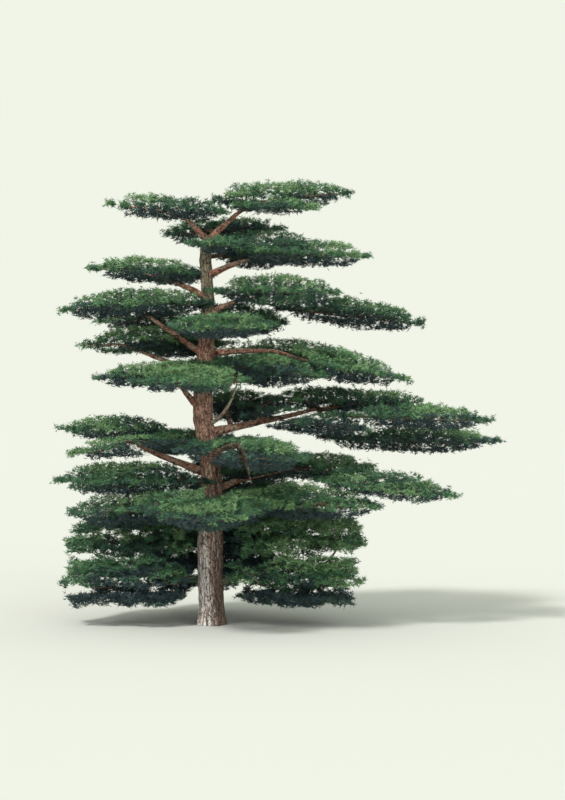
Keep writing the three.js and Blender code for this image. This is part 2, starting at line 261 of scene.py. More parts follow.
def bark_scales(bark, fine):
    """A number for each small scale, and how far each point is from its scale's edge."""
    straight = bark.place(fine)
    about = {"Vector": straight, "Scale": 0.7, "Detail": 3.0}
    push = bark.node("ShaderNodeTexNoise", inputs=about, output="Color")
    added = {0: push, 1: SCALE_PUSH, 2: straight}
    bent = bark.node("ShaderNodeVectorMath", {"operation": "MULTIPLY_ADD"}, added)
    cells = {"Vector": bent, "Scale": 1.0}
    colours = bark.node("ShaderNodeTexVoronoi", {"feature": "F1"}, cells, output="Color")
    scale = bark.node("ShaderNodeSeparateColor", inputs={"Color": colours})
    rim = bark.node("ShaderNodeTexVoronoi", {"feature": "DISTANCE_TO_EDGE"}, cells, output="Distance")
    return scale, rim


# %% Bark materials
def bark_finish(name, fresh, worn, streaks, fine, cream, top_highlight, trunk=0.0):
    bark = Finish(name)
    drift = bark.noise(bark.place(streaks))
    second = bark.noise(bark.place(tuple(1.7 * s + 0.3 for s in streaks)))
    grain = bark.noise(bark.place(tuple(1.5 * f for f in fine)), detail=6.0, roughness=0.72)
    scale, rim = bark_scales(bark, fine)
    height = bark.part(bark.place((1, 1, 1)), "Z")
    facing = bark.node("ShaderNodeNewGeometry", output="Normal")
    upward = bark.part(facing, "Z")
    rightward = bark.part(facing, "X")
    groove = bark.node("ShaderNodeAttribute", {"attribute_name": "groove"}, output="Fac")
    foot = 1 - height.between(2.0, 7.5)
    middle = height.between(5.5, 8.5) * (1 - height.between(12.0, 14.5))
    crown = height.between(12.5, 15.0)
    # painted light: 1 on the side that faces left, towards the sun, and 0 on the side that faces right, in
    # shade
    lit_left = 1 - rightward.between(-0.4, 0.6)
    colour = bark.mix(drift.between(0.36, 0.60), fresh, worn)
    colour = bark.mix(second.between(0.52, 0.64) * cream, colour, CREAM_BARK)
    colour = bark.mix(middle * drift.between(0.30, 0.50) * (0.75 * trunk), colour, SALMON_BARK)
    # lilac at the foot: partly in drifts, and mostly a painted highlight on the lit left side
    colour = bark.mix(foot * (drift.between(0.42, 0.56) * 0.35 + lit_left * 0.65) * trunk, colour, LILAC_BARK)
    colour = bark.mix(0.6 - second.between(0.36, 0.48) * 0.6, colour, BROWN_BARK)
    # painted shade: brown on the right side of the foot
    colour = bark.mix(foot * (1 - lit_left) * (0.85 * trunk), colour, BROWN_BARK)
    colour = bark.mix(crown * (0.75 * trunk), colour, OLIVE_BARK)
    # painted highlight: cream on the upper sides, where the sun falls
    colour = bark.mix(upward.between(0.2, 0.9) * top_highlight, colour, CREAM_BARK)
    colour = bark.mix(scale * 0.4, colour, BROWN_BARK)
    colour = bark.mix(grain.between(0.50, 0.80) * 0.45, colour, BROWN_BARK)
    colour = bark.mix((1 - rim.between(0.01, 0.12)) * (0.25 + grain * 0.8), colour, CRACK)
    colour = bark.mix(groove.between(0.45, 0.95) * 0.85, colour, CRACK)
    relief = rim.between(0.0, 0.2) + grain * 0.5 + scale * 0.4
    bump = bark.node("ShaderNodeBump", inputs={"Strength": 0.9, "Distance": 0.02, "Height": relief})
    rough = 0.80 + grain * 0.18
    return bark.surface(Base_Color=colour, Roughness=rough, Specular_IOR_Level=0.25, Normal=bump)


TRUNK_STREAKS, LIMB_STREAKS, TWIG_STREAKS = (5.0, 5.0, 0.55), (1.6, 1.6, 3.5), (2.5, 2.5, 2.5)

trunk_bark = bark_finish("old_bark", OLD_RED, OLD_TAN, TRUNK_STREAKS, (15, 15, 5), 0.85, 0.0, trunk=1.0)
limb_bark = bark_finish("limb_bark", LIMB_RED, LIMB_TAN, LIMB_STREAKS, (16, 16, 16), 0.8, 0.3)
# painted shade: a darker copy of the limbs' bark, for the limbs inside the foliage
shaded_limb_bark = bark_finish("shaded_limb_bark", SHADED_LIMB_RED, SHADED_LIMB_TAN, LIMB_STREAKS, (20, 20, 20), 0.3, 0.1)
bare_bark = bark_finish("bare_bark", OLD_TAN, CREAM_BARK, LIMB_STREAKS, (20, 20, 20), 0.9, 0.6)
twig_bark = bark_finish("twig_bark", TWIG_RED, TWIG_TAN, TWIG_STREAKS, (30, 30, 30), 0.1, 0.0)
print("bark:", [bark.name for bark in (trunk_bark, limb_bark, shaded_limb_bark, bare_bark, twig_bark)])

# %% [markdown]
# ## Needles
#
# A cedar's needles stand in rosettes on short shoots, and from a distance a tier reads as two or three tones:
# mid green where the light falls, and a deep blue green in the layers under it. Each tone is one plain
# colour, and each spray of rosettes is dealt one of them by where it grows, so light and shade are painted
# on: the palest tone is painted light, and the two darkest are painted shade.

# %% Needle materials
# One green in lit and shaded copies: the first is painted light, the last two are painted shade.
NEEDLE_TONES = {
    "needles_lit": (0.138, 0.255, 0.112),
    "needles_green": (0.059, 0.148, 0.069),
    "needles_deep": (0.040, 0.100, 0.064),
    "needles_shade": (0.026, 0.052, 0.056),
}


def needle_finish(name, colour):
    return Finish(name).surface(Base_Color=colour, Roughness=0.62, Specular_IOR_Level=0.28)


needle_materials = [needle_finish(name, colour) for name, colour in NEEDLE_TONES.items()]
print("needles:", [needle.name for needle in needle_materials])

# %% [markdown]
# ## Reading the frame
#
# A bough is only a plain faceted limb in the frame, but it says where the limb runs and how thick it is.
# Points scattered evenly over its faces are sorted into slices along its length: the middle of a slice is a
# point of the limb's line, and the mean distance of its points from that line is the radius. All that is
# random in the tree is drawn from one generator, so it grows the same each time.

# %% Solids as arrays
dice = np.random.default_rng(1812)
FEWEST_IN_SLICE = 8  # a slice with no more points than this has no middle


def solid_arrays(name):
    """The corners and triangles of a node of the frame."""
    mesh = frame["nodes"][name].data
    corners = np.empty(len(mesh.vertices) * 3, np.float32)
    mesh.vertices.foreach_get("co", corners)
    mesh.calc_loop_triangles()
    faces = np.empty(len(mesh.loop_triangles) * 3, np.int32)
    mesh.loop_triangles.foreach_get("vertices", faces)
    return corners.reshape(-1, 3).astype(float), faces.reshape(-1, 3)


def scatter_over(name, count):
    """Points spread evenly over a node's faces."""
    corners, faces = solid_arrays(name)
    a, b, c = (corners[faces[:, k]] for k in range(3))
    area = np.linalg.norm(np.cross(b - a, c - a), axis=1)
    chosen = dice.choice(len(faces), count, p=area / area.sum())
    u, v = dice.random((2, count, 1))
    over = (u + v) > 1
    u, v = np.where(over, 1 - u, u), np.where(over, 1 - v, v)
    return a[chosen] + u * (b - a)[chosen] + v * (c - a)[chosen]


def slices_along(points, share, count):
    """The middle of the points in each slice of share, which runs from 0 to 1."""
    middles = []
    for k in range(count):
        inside = points[(share >= k / count) & (share < (k + 1) / count)]
        if len(inside) > FEWEST_IN_SLICE:
            middles.append(inside.mean(0))
    return np.array(middles)


print("solids:", sum(len(solid_arrays(name)[1]) for name in slot_of), "triangles")

# %% The trunk's line
TRUNK_SLICES = 40

trunk_points = scatter_over("trunk", 16000)
trunk_low, trunk_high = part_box("trunk")
trunk_share = (trunk_points[:, 2] - trunk_low.z) / (trunk_high.z - trunk_low.z)
on_side = (trunk_share > 0.002) & (trunk_share < 0.998)  # and not on one of its flat ends
side_points, side_share = trunk_points[on_side], trunk_share[on_side]
trunk_rows = slices_along(side_points, side_share, TRUNK_SLICES)
trunk_z, trunk_x, trunk_y = trunk_rows[:, 2], trunk_rows[:, 0], trunk_rows[:, 1]


def trunk_middle(z):
    """The trunk's axis at a height, as an array of points."""
    z = np.asarray(z, float)
    return np.stack([np.interp(z, trunk_z, trunk_x), np.interp(z, trunk_z, trunk_y), z], axis=-1)


away = np.linalg.norm((side_points - trunk_middle(side_points[:, 2]))[:, :2], axis=1)
trunk_radii = np.array([away[(side_share >= k / TRUNK_SLICES) & (side_share < (k + 1) / TRUNK_SLICES)].mean()
                        for k in range(TRUNK_SLICES)])


def trunk_radius(z):
    return np.interp(z, trunk_z, trunk_radii)


print("trunk: radius", *(f"{trunk_radius(z):.2f} at {z} m" for z in (1.5, 8.0, 16.0)))

# %% Each bough's line
BOUGH_SLICES = 9
BOUGH_END = 0.06  # how much of a bough's points, at either end, say where that end is


def bough_line(name):
    """Rows of x, y, z and radius from the trunk out to where the bough enters its mass."""
    points = scatter_over(name, 3000)
    reach = np.linalg.norm((points - trunk_middle(points[:, 2]))[:, :2], axis=1)
    near = points[reach <= np.quantile(reach, BOUGH_END)].mean(0)
    far = points[reach >= np.quantile(reach, 1 - BOUGH_END)].mean(0)
    run = far - near
    share = np.clip((points - near) @ run / (run @ run), 0, 0.999)
    rows = slices_along(points, share, BOUGH_SLICES)
    ahead = np.gradient(rows, axis=0)
    ahead /= np.linalg.norm(ahead, axis=1, keepdims=True)
    closest = np.linalg.norm(points[:, None] - rows[None], axis=2).argmin(1)
    offset = points - rows[closest]
    along = (offset * ahead[closest]).sum(1)
    across = np.sqrt(np.maximum((offset ** 2).sum(1) - along ** 2, 0))
    radii = np.array([across[closest == k].mean() for k in range(len(rows))])
    return np.column_stack([rows, radii])


bough_lines = {name: bough_line(name) for name in bough_names}
bough_radii = np.concatenate([line[:, 3] for line in bough_lines.values()])
print(f"boughs: radii from {bough_radii.min():.3f} to {bough_radii.max():.3f}")

# %% [markdown]
# ## The masses
#
# A mass is asked only one thing: between which heights is there foliage above this point of the ground? Two
# rays answer it, one from above and one from below.

# %% Masses
class Mass:
    """The space of one mass of foliage."""

    def __init__(self, name):
        self.name = name
        self.corners, faces = solid_arrays(name)
        self.tree = BVHTree.FromPolygons([Vector(p) for p in self.corners], faces.tolist())
        self.low, self.high = self.corners.min(0), self.corners.max(0)
        self.bough = None

    def column(self, x, y):
        """The heights of the underside and the top at a point, or None beside the mass."""
        down = self.tree.ray_cast(Vector((x, y, self.high[2] + 1)), Vector((0, 0, -1)))[0]
        up = self.tree.ray_cast(Vector((x, y, self.low[2] - 1)), Vector((0, 0, 1)))[0]
        if down is None or up is None:
            return None
        return up.z, down.z


masses = {name: Mass(name) for name in mass_names}


def mass_entered_by(line):
    """The mass whose surface is nearest to a bough's end."""
    end = Vector(line[-1, :3])
    return min(masses.values(), key=lambda mass: mass.tree.find_nearest(end)[3])


for name, line in bough_lines.items():
    mass_entered_by(line).bough = name
print("masses with a bough of their own:", sum(mass.bough is not None for mass in masses.values()))

# %% [markdown]
# ## Limbs inside the masses
#
# Every mass needs a limb to carry it. Where a bough of the frame enters it, that bough runs on to near the
# tip. Any other mass gets a limb from the nearest place on the trunk or on a limb already there, and a limb
# would rather rise than fall, so a place below counts as nearer. A wide mass gets up to three forks, each out
# to the corner that is furthest from the wood already there.

# %% Limb lines
LIMB_STEP = 0.35
TIP_RADIUS = 0.018
TAPER = 0.75  # below 1 a limb stays thick for longer and thins near its tip
WAVE, FORK_WAVE = 0.22, 0.16  # how far a limb or a fork swings to either side of its straight way
LIMB_HEIGHT = 0.4  # of a limb in its mass, from its underside, 0, to its top, 1
SETTLES = 2.2  # a limb has come to that height after 1 / 2.2 of its way
limbs = []  # (name of its bough or None, rows of x, y, z, radius)
carriers = {name: [] for name in mass_names}  # the rows that lie in each mass


def run_inside(mass, start, target, radius, wave):
    """Rows from start towards target, low in the mass, thinning to a twig."""
    start, target = np.asarray(start, float), np.asarray(target, float)
    span = target - start
    length = np.linalg.norm(span)
    count = max(3, int(length / LIMB_STEP))
    sideways = np.array([-span[1], span[0], 0]) / max(length, 0.01)
    phase = dice.random() * 6.3
    rows = []
    for k in range(1, count + 1):
        t = k / count
        spot = start + span * t + sideways * wave * math.sin(phase + 5.5 * t) * (1 - t) * min(1, 3 * t)
        column = mass.column(spot[0], spot[1])
        if column:
            low, high = column
            want = low + LIMB_HEIGHT * (high - low)
            spot[2] += (want - spot[2]) * min(1, SETTLES * t)
        rows.append([*spot, TIP_RADIUS + (radius - TIP_RADIUS) * (1 - t) ** TAPER])
    return np.array(rows)


# %% A limb and its forks
LIMB_REACH, FORK_REACH = 0.93, 0.85  # how much of the way to a mass's corner a limb or a fork goes
FORK_RADIUS = 0.7  # of the limb's own, where it forks
FORKS_PAST = 1.6  # a mass with a corner further than this from its limb gets a fork
MOST_FORKS = 3


def furthest_corner(mass, rows):
    """The corner of a mass that lies furthest, in plan, from some rows, and how far that is."""
    gaps = np.linalg.norm(mass.corners[:, None, :2] - rows[None, :, :2], axis=2).min(1)
    k = gaps.argmax()
    return mass.corners[k], gaps[k]


def carry(mass, start, radius):
    """The limb of a mass from its start, and its forks."""
    target, _ = furthest_corner(mass, np.array([start]))
    target = start + (target - start) * LIMB_REACH
    main = run_inside(mass, start, target, radius, WAVE)
    made = [main]
    for _ in range(MOST_FORKS):
        corner, gap = furthest_corner(mass, np.vstack(made))
        if gap < FORKS_PAST:
            break
        joins = main[: max(2, len(main) * 2 // 3)]
        k = np.linalg.norm(joins[:, :3] - corner, axis=1).argmin()
        k = min(k, len(joins) // 2 + 1)
        goal = joins[k, :3] + (corner - joins[k, :3]) * FORK_REACH
        fork = run_inside(mass, joins[k, :3], goal, joins[k, 3] * FORK_RADIUS, FORK_WAVE)
        made.append(np.vstack([joins[k], fork]))
    carriers[mass.name] = made
    return made


# %% The boughs run on
for mass in masses.values():
    if mass.bough:
        line = bough_lines[mass.bough]
        end = line[-1]
        parts = carry(mass, end[:3], end[3])
        root = trunk_middle(line[0, 2] - 0.12)  # so its bark starts inside the trunk's
        limbs.append((mass.bough, np.vstack([[*root, line[0, 3] * 1.1], line, parts[0]])))
        limbs.extend((None, fork) for fork in parts[1:])

forks_from = np.arange(0.8, 17.3, 0.25)  # the heights where a limb may leave the trunk
skeleton = [np.column_stack([trunk_middle(forks_from), np.full(len(forks_from), 0.2)])]
skeleton += [rows for _, rows in limbs]
print("limbs that start as a bough of the frame, and their forks:", len(limbs))

# %% Limbs of the other masses
LEAST_RISE, FALL_COST = 0.15, 5  # how steep a limb should be at least, and what a metre short of it counts
ENTERS = 0.12  # how far into a mass, from its inner corner to its middle, its limb enters it
THINNEST, THICKER = 0.03, 0.017  # a limb's radius as it enters, and what each metre of the mass adds to it
LATE_RISE = 1.4  # over 1 a limb runs out before it rises
COLLAR = 0.5  # how much thicker it is where it leaves the wood
CARRIED_BY = {  # masses whose limb leaves another mass's limb
    "fifth_right_outer": "fifth_right",
    "tenth_right_inner": "tenth_right",
    "tenth_right_outer": "tenth_right",
    "tenth_right_low": "tenth_right",
    "thirteenth_right_outer": "thirteenth_right",
}


def place_to_leave(corner, rows):
    """The row of some limbs that a limb to this corner leaves from."""
    flat = np.linalg.norm(rows[:, :2] - corner[:2], axis=1)
    rise = corner[2] - rows[:, 2]
    cost = np.hypot(flat, rise) + FALL_COST * np.maximum(LEAST_RISE * flat - rise, 0)
    return rows[cost.argmin()]


def inner_corner(mass):
    """The corner of a mass that is nearest to the trunk's line."""
    off = mass.corners - trunk_middle(mass.corners[:, 2])
    return mass.corners[np.linalg.norm(off[:, :2], axis=1).argmin()]


lonely = [mass for mass in masses.values() if not mass.bough]
lonely.sort(key=lambda mass: np.linalg.norm(inner_corner(mass)[:2]))
for mass in lonely:
    corner = inner_corner(mass)
    parent = CARRIED_BY.get(mass.name)
    leave = place_to_leave(corner, np.vstack(carriers[parent] if parent else skeleton))
    middle = mass.corners.mean(0)
    enter = corner + ENTERS * (middle - corner)
    span = np.linalg.norm(furthest_corner(mass, np.array([enter]))[0] - enter)
    radius = min(THINNEST + THICKER * span, max(leave[3] * 0.8, 0.05))
    steps = max(2, int(np.linalg.norm(enter - leave[:3]) / LIMB_STEP))
    rows = []
    for k in range(steps + 1):
        t = k / steps
        spot = leave[:3] + (enter - leave[:3]) * np.array([t, t, t ** LATE_RISE])
        rows.append([*spot, radius * (1 + COLLAR - COLLAR * min(1, 4 * t))])
    parts = carry(mass, enter, radius)
    limbs.append((None, np.vstack([rows, parts[0]])))
    limbs.extend((None, fork) for fork in parts[1:])
    skeleton.extend(parts)
print("limbs in all:", len(limbs), "of which", len(lonely), "lead to a mass without a bough")

# %% [markdown]
# Two old limbs are bare. One droops: it rises off the trunk, arches over and hangs in front of the foliage.
# The other climbs beside the trunk into the tier above. Their lines are given as steps from the
# trunk's own line at the height where they leave it, with a radius at each step.

# %% The two bare limbs
DROOP_FROM = 7.5
DROOP_STEPS = [(0, 0, 0, 0.13), (0.5, -0.8, 0.35, 0.12), (0.95, -1.6, 0.62, 0.11), (1.35, -2.1, 0.66, 0.10),
               (1.62, -2.35, 0.35, 0.09), (1.74, -2.45, -0.15, 0.075), (1.86, -2.5, -0.75, 0.05),
               (1.95, -2.52, -1.05, 0.02)]
CLIMB_FROM = 8.95
CLIMB_STEPS = [(0, 0, 0, 0.13), (0.5, -0.35, 0.15, 0.11), (0.85, -0.75, 0.5, 0.085),
               (1.15, -1.05, 0.95, 0.07), (1.35, -1.25, 1.4, 0.06), (1.5, -1.35, 1.8, 0.05),
               (1.55, -1.4, 2.2, 0.03)]


def limb_from_trunk(height, steps):
    root = trunk_middle(height)
    return np.array([[*(root + step[:3]), step[3]] for step in steps])


droop = limb_from_trunk(DROOP_FROM, DROOP_STEPS)
climb = limb_from_trunk(CLIMB_FROM, CLIMB_STEPS)
print("bare limbs: down to", round(droop[:, 2].min(), 2), "m and up to", round(climb[:, 2].max(), 2), "m")

# %% [markdown]
# ## The trunk
#
# The trunk is drawn up from a ring at the ground, as by hand: the ring is extruded, moved over the trunk's
# line and scaled to its radius, again and again. A Simple subdivision makes it fine, Shrinkwrap pulls it onto
# the frame's trunk, flare and all, Smooth takes the facets off, and Displace raises the bark. The two
# displacement patterns are stretched upwards by an empty that only scales their coordinates.

# %% Selecting and finishing a piece
def only(piece):
    """Selects one piece and makes it active."""
    bpy.ops.object.select_all(action="DESELECT")
    piece.select_set(True)
    bpy.context.view_layer.objects.active = piece
    return piece


def finish_modifiers(piece):
    only(piece)
    for modifier in list(piece.modifiers):
        bpy.ops.object.modifier_apply(modifier=modifier.name)


# %% Bark relief
def stretched_space(name, scale):
    """An empty whose space a displacement pattern is read in."""
    bpy.ops.object.empty_add(location=(0, 0, 0))
    bpy.context.object.name = name
    bpy.context.object.scale = scale
    bpy.context.view_layer.update()
    return bpy.context.object


def plate_texture(name, size):
    """Raised cells with a crack round each: the second nearest seed's distance less the nearest one's."""
    texture = bpy.data.textures.new(name, "VORONOI")
    texture.noise_scale = size
    texture.weight_1 = -1.0
    texture.weight_2 = 1.0
    texture.noise_intensity = 1.6
    return texture


def lump_texture(name, size):
    texture = bpy.data.textures.new(name, "CLOUDS")
    texture.noise_scale = size
    texture.noise_depth = 3
    return texture


def displace(piece, space, texture, depth, level):
    modifier = piece.modifiers.new(texture.name, "DISPLACE")
    modifier.texture = texture
    modifier.texture_coords = "OBJECT"
    modifier.texture_coords_object = space
    modifier.strength = depth
    modifier.mid_level = level
    finish_modifiers(piece)


def corners_of(piece):
    corners = np.empty(len(piece.data.vertices) * 3, np.float32)
    piece.data.vertices.foreach_get("co", corners)
    return corners.reshape(-1, 3)


GROOVE_FROM, GROOVE_TO = 0.75, 0.01  # the shares of a piece's corners that lie lower than 0 and than 1


def raise_bark(piece, space, plates, plate_depth, lumps, lump_depth):
    """Lumps first, then plates, whose depth is kept at each corner as 'groove', from 0, on top, to 1."""
    displace(piece, space, lumps, lump_depth, 0.5)
    before = corners_of(piece)
    normals = np.empty(before.size, np.float32)
    piece.data.vertices.foreach_get("normal", normals)
    displace(piece, space, plates, plate_depth, 0.6)
    rise = ((corners_of(piece) - before) * normals.reshape(-1, 3)).sum(1)
    low, high = np.quantile(rise, [GROOVE_TO, GROOVE_FROM])
    groove = piece.data.attributes.new("groove", "FLOAT", "POINT")
    groove.data.foreach_set("value", np.clip((high - rise) / (high - low), 0, 1).astype(np.float32))


# %% The trunk drawn up
TRUNK_RINGS = 112
RING_SIDES = 32

trunk_top = trunk_high.z
ring_heights = trunk_top * np.linspace(0, 1, TRUNK_RINGS)
foot = trunk_middle(0)
foot_radius = float(trunk_radius(0)) * 1.1
bpy.ops.mesh.primitive_circle_add(vertices=RING_SIDES, radius=foot_radius, location=(foot[0], foot[1], 0))
trunk = bpy.context.object
trunk.name = "trunk_bark"
bpy.ops.object.transform_apply(location=True, rotation=True, scale=True)
bpy.ops.object.mode_set(mode="EDIT")
bpy.ops.mesh.select_all(action="SELECT")
for low, high in zip(ring_heights, ring_heights[1:]):
    step = trunk_middle(high) - trunk_middle(low)
    grow = float(trunk_radius(high) / trunk_radius(low))
    bpy.ops.mesh.extrude_region_move(TRANSFORM_OT_translate={"value": tuple(step)})
    bpy.ops.transform.resize(value=(grow, grow, 1), center_override=tuple(trunk_middle(high)))
bpy.ops.mesh.fill()
bpy.ops.mesh.select_all(action="SELECT")
bpy.ops.mesh.normals_make_consistent(inside=False)
bpy.ops.object.mode_set(mode="OBJECT")
print("drawn up:", len(trunk.data.polygons), "faces,", round(trunk_top, 2), "m tall")

# %% The trunk's bark
PLATE_SIZE, PLATE_DEPTH = 0.125, 0.045
LUMP_SIZE, LUMP_DEPTH = 0.5, 0.07
PLATE_STRETCH = 3.6  # how many times taller than wide a plate is

tall_space = stretched_space("tall_grain", (1, 1, PLATE_STRETCH))
trunk.modifiers.new("fine", "SUBSURF").subdivision_type = "SIMPLE"
trunk.modifiers["fine"].levels = trunk.modifiers["fine"].render_levels = 2
wrap = trunk.modifiers.new("wrap", "SHRINKWRAP")
wrap.target = frame["nodes"]["trunk"]
wrap.wrap_method = "NEAREST_SURFACEPOINT"
soften = trunk.modifiers.new("soften", "SMOOTH")
soften.iterations = 6
finish_modifiers(trunk)
raise_bark(trunk, tall_space, plate_texture("trunk_plates", PLATE_SIZE), PLATE_DEPTH,
           lump_texture("trunk_lumps", LUMP_SIZE), LUMP_DEPTH)
level_foot = corners_of(trunk)  # nothing of the foot stays below the ground
level_foot[:, 2] = np.clip(level_foot[:, 2], 0, trunk_top + 0.05)
trunk.data.vertices.foreach_set("co", level_foot.ravel())
trunk.data.update()
only(trunk)
bpy.ops.object.shade_smooth()
trunk.data.materials.append(trunk_bark)
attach(trunk, "root")
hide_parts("trunk")
print("trunk:", len(trunk.data.polygons), "faces")

# %% [markdown]
# ## Boughs and inner limbs
#
# A limb is a curve with a round bevel and a radius at each of its points. A NURBS spline rounds the corners
# between them. Turned into a mesh, it gets the same two displacements as the trunk, finer and shallower. The
# frame's nineteen boughs become one piece each, and so do the two bare limbs. The limbs that run inside the
# foliage are joined into one piece, coarser, and their bark is a darker copy of the limbs' bark: painted
# shade.

# %% Limb meshes
SHOWN_SHAPE, HIDDEN_SHAPE = (18, 8), (8, 3)  # sides of a limb, and rings between two of its points
BOUGH_PLATES, BARE_PLATES, HIDDEN_PLATES = 0.03, 0.02, 0.012  # how deep the cracks are
limb_space = stretched_space("limb_grain", (1, 1, 1))
limb_plates = plate_texture("limb_plates", 0.12)
limb_lumps = lump_texture("limb_lumps", 0.35)
LUMPS_TO_PLATES = 1.6  # how much deeper a limb's lumps are than its cracks


def limb_mesh(name, rows, sides, rings):
    bpy.ops.curve.primitive_nurbs_path_add()
    limb = bpy.context.object
    limb.name = name
    limb.data.splines.clear()
    spline = limb.data.splines.new("NURBS")
    spline.points.add(len(rows) - 1)
    spline.points.foreach_set("co", np.column_stack([rows[:, :3], np.ones(len(rows))]).ravel())
    spline.points.foreach_set("radius", rows[:, 3])
    spline.order_u = 4
    spline.use_endpoint_u = True
    spline.resolution_u = rings
    limb.data.dimensions = "3D"
    limb.data.bevel_depth = 1.0
    limb.data.bevel_resolution = (sides - 4) // 2
    limb.data.use_fill_caps = True
    only(limb)
    bpy.ops.object.convert(target="MESH")
    return bpy.context.object


def bark_limb(name, rows, shape, depth, finish):
    limb = limb_mesh(name, rows, *shape)
    raise_bark(limb, limb_space, limb_plates, depth, limb_lumps, depth * LUMPS_TO_PLATES)
    bpy.ops.object.shade_smooth()
    limb.data.materials.clear()
    limb.data.materials.append(finish)
    return limb


def stays_bark(piece, *replaced):
    """A piece of bark that stands still, and the nodes of the frame that it replaces."""
    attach(piece, "root")
    if replaced:
        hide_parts(*replaced)


# %% Every limb made
hidden_limbs = []
for number, (owner, rows) in enumerate(limbs):
    if owner:
        stays_bark(bark_limb(owner + "_bark", rows, SHOWN_SHAPE, BOUGH_PLATES, limb_bark), owner)
    else:
        name = f"limb_{number}"
        hidden_limbs.append(bark_limb(name, rows, HIDDEN_SHAPE, HIDDEN_PLATES, shaded_limb_bark))
stays_bark(bark_limb("drooping_limb", droop, SHOWN_SHAPE, BARE_PLATES, bare_bark))
stays_bark(bark_limb("climbing_limb", climb, SHOWN_SHAPE, BARE_PLATES, bare_bark))

only(hidden_limbs[0])
for limb in hidden_limbs:
    limb.select_set(True)
bpy.ops.object.join()
inner_limbs = bpy.context.object
inner_limbs.name = "inner_limbs"
stays_bark(inner_limbs)
print("inner limbs:", len(inner_limbs.data.polygons), "faces")

# %% [markdown]
# ## Growing points
#
# A cedar spreads its foliage in thin level sheets, so growing points are spread through each mass in such
# sheets, each a random step off a grid, and left out in drifting patches. Where a mass is thin, at its rim,
# one sheet is enough, and a few points reach past it, so that sprays break its outline. The lowest masses are
# thick: they hang in shelves, and what grows between two shelves stands back from the rim.

# %% Growing points
SHEET_GAP = 0.24  # between two level sheets of foliage
SKIRT_SHEETS = 1.2  # how much more that is in the lowest, thick masses
SHEET_WAVE, SHEET_SPREAD = 0.6, 0.03  # how far a sheet waves, in sheets, and a point strays from it
BARE_PATCH, BARE_TOP_PATCH = -0.26, -0.34  # a drift lower than this leaves a patch of a sheet out
POINT_GAP = 0.32  # between growing points in a sheet
EDGE_INSET = 0.02  # how far the outermost points stay inside the mass
RIM = 0.45  # a mass thinner than this is at its rim
STROKE = (0.10, 0.31)  # how far the longest twigs reach past the rim
SHELL = 1.1  # how deep the foliage of the thick masses goes; further in, their limbs are bare
SHELF_GAP = 1.15  # between the shelves that those masses hang in
SHELF_WAVE = 0.45  # how far the shelves wave, in shelves
SHELF_OPEN = 0.1  # a height whose wave is lower than this is between two shelves
SHELF_SET_BACK = 0.75  # how far the foliage between two shelves stands back
TOP_SHELF = 0.5  # how much of those masses, at their top, is one full shelf


def drift_at(x, y, z):
    """A smooth drift between -1 and 1, mostly within a half of 0."""
    return noise.noise(Vector((x, y, z)))


def open_between_shelves(mass, spot):
    """Whether a point of a thick mass is in the hollow between two shelves, or too far in for light."""
    depth = mass.tree.find_nearest(Vector(spot))[3]
    wave = SHELF_WAVE * drift_at(spot[0] * 0.5, spot[1] * 0.5, 3.0)
    shelf = math.cos(2 * math.pi * (spot[2] / SHELF_GAP + wave))
    return depth > SHELL or (shelf < SHELF_OPEN and depth < SHELF_SET_BACK)


# %% Points in sheets
def points_in_sheets(mass):
    """Points in level sheets through a mass, and how high each lies in it, from 0 to 1."""
    points, levels = [], []
    seed = dice.uniform(0, 50)
    deep = mass.name.startswith("skirt")
    for x in np.arange(mass.low[0], mass.high[0] + POINT_GAP, POINT_GAP):
        for y in np.arange(mass.low[1], mass.high[1] + POINT_GAP, POINT_GAP):
            px, py = np.array([x, y]) + dice.uniform(-0.5, 0.5, 2) * POINT_GAP
            column = mass.column(px, py)
            if not column:
                continue
            low, high = column[0] + EDGE_INSET, column[1] - EDGE_INSET
            if column[1] - column[0] < RIM:
                points.append([px, py, (low + high) / 2 + dice.uniform(-0.06, 0.06)])
                levels.append(dice.uniform(0.35, 0.9))
                continue
            sheets = 1 + max(1, round((high - low) / (SHEET_GAP * (SKIRT_SHEETS if deep else 1.0))))
            for k in range(sheets):
                patch = drift_at(px * 0.55, py * 0.55, seed + k * 3.7)
                if k > 0 and patch < (BARE_TOP_PATCH if k == sheets - 1 else BARE_PATCH):
                    continue
                wave = drift_at(px * 0.9, py * 0.9, seed + 20 + k * 0.6)
                level = np.clip((k + SHEET_WAVE * wave) / (sheets - 1), 0, 1)
                spot = [px, py, low + level * (high - low) + dice.normal() * SHEET_SPREAD]
                if deep and high - spot[2] > TOP_SHELF and open_between_shelves(mass, spot):
                    continue
                points.append(spot)
                levels.append(level)
    return points, levels


# %% Points at the rim
def points_at_rim(mass):
    """Points at the thin corners of a mass, and some just past them."""
    points, levels = [], []
    middle = mass.corners.mean(0)
    for corner in mass.corners:
        inward = middle - corner
        inward[2] = 0
        inward /= max(np.linalg.norm(inward), 0.1)
        px, py = (corner + 0.12 * inward)[:2]
        column = mass.column(px, py)
        if column and column[1] - column[0] < RIM:
            points.append([px, py, (column[0] + column[1]) / 2])
            levels.append(0.6)
            if dice.random() < 0.5:
                past = 0.12 * inward - inward * dice.uniform(*STROKE)
                points.append([*(corner + past)[:2], (column[0] + column[1]) / 2 + dice.normal() * 0.05])
                levels.append(0.75)
    return points, levels


growing = {name: [np.array(inner + rim) for inner, rim in zip(points_in_sheets(mass), points_at_rim(mass))]
           for name, mass in masses.items()}
print("growing points:", sum(len(points) for points, _ in growing.values()))

# %% [markdown]
# ## Twigs by a branching rule
#
# The growing points join the tree one by one: always the point whose way back is shortest, counting the step
# to the nearest wood in full and the way from there to the limb by a share. With a share of nothing the twigs
# would wander, and with all of it each would run straight to the limb. A third gives long twigs that fork and
# fan outwards. A twig is as thick as all that it carries.

